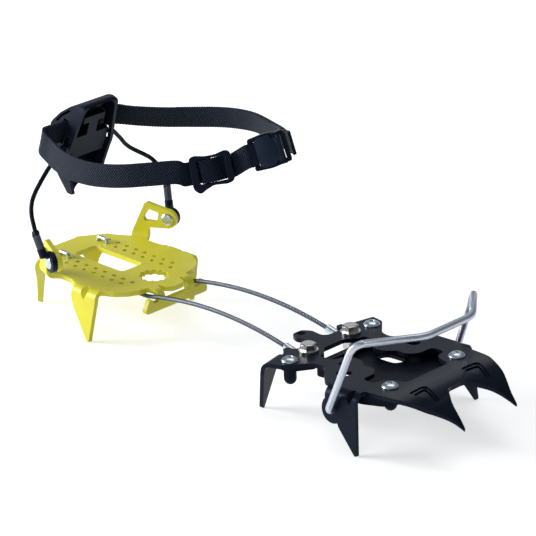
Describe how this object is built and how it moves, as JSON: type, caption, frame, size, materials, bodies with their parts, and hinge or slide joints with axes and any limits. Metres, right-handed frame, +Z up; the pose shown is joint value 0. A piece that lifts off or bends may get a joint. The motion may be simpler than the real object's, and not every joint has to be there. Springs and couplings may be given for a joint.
{
  "type": "mountaineering crampon",
  "caption": "Cable-linked crampon: black steel front plate with points and wire toe bail, yellow heel plate with points, cable-slung heel lever and webbing ankle strap with cam buckle",
  "frame": {"origin": "centre of the bounding box in plan, on the ground that the points stand on", "axes": "+X to the toe, +Y to the wearer's left, +Z up"},
  "size_m": [0.3188, 0.1106, 0.1416],
  "materials": {
    "steel_black": "black powder-coated steel sheet, satin",
    "pad_rubber": "moulded black elastomer, matt",
    "zinc": "bright zinc plating",
    "stainless": "bright stainless steel",
    "cable_steel": "twisted steel strands under clear coating",
    "anodised_yellow": "yellow-green anodised aluminium sheet",
    "black_plastic": "moulded black nylon, satin",
    "sleeve_plastic": "smoky clear tube over a steel cable",
    "cable_coating": "black plastic-coated cable",
    "webbing": "black woven nylon webbing"
  },
  "bodies": {
    "base": {"front_plate": "steel_black", "antiball_pad": "pad_rubber", "pad_screws": "zinc", "cable_bolts": "stainless", "cable_nuts": "stainless", "cable_terminal_left": "zinc", "cable_terminal_right": "zinc", "link_cable_left": "cable_steel", "link_cable_right": "cable_steel", "heel_plate": "anodised_yellow", "cable_hook_left": "zinc", "cable_hook_right": "zinc", "hook_crimp_left": "zinc", "hook_crimp_right": "zinc", "ear_rivets": "zinc", "cable_eyelet_left": "black_plastic", "cable_eyelet_right": "black_plastic", "cable_sleeve_left": "sleeve_plastic", "cable_sleeve_right": "sleeve_plastic"},
    "toe_bail": {"toe_bail": "stainless"},
    "heel_loop": {"heel_cable": "cable_coating"},
    "carriage": {"lever_carriage": "black_plastic"},
    "lever": {"lever_shell": "black_plastic", "ankle_strap": "webbing", "strap_tail": "webbing", "short_strap": "webbing", "slide_ring": "black_plastic", "buckle_frame": "black_plastic", "buckle_pin": "stainless"},
    "cam": {"buckle_cam": "black_plastic"}
  },
  "joints": [
    {"name": "toe_bail_swing", "type": "hinge", "parent": "base", "child": "toe_bail", "pos_m": [0.0928, 0, 0.02063], "axis": [0, 1, 0], "range_deg": [-80, 20]},
    {"name": "heel_loop_swing", "type": "hinge", "parent": "base", "child": "heel_loop", "pos_m": [-0.12333, 0, 0.0594], "axis": [0, 1, 0], "range_deg": [-35, 15]},
    {"name": "lever_tilt", "type": "hinge", "parent": "heel_loop", "child": "carriage", "pos_m": [-0.13443, 0, 0.0985], "axis": [0, 1, 0], "range_deg": [-40, 20]},
    {"name": "lever_height", "type": "slide", "parent": "carriage", "child": "lever", "axis": [0.2924, 0, 0.9563], "range_m": [-0.003, 0.003]},
    {"name": "buckle_cam_open", "type": "hinge", "parent": "lever", "child": "cam", "pos_m": [0.01581, -0.0047, 0.13257], "axis": [-0.3888, -0.0289, 0.9209], "range_deg": [0, 60]}
  ]
}
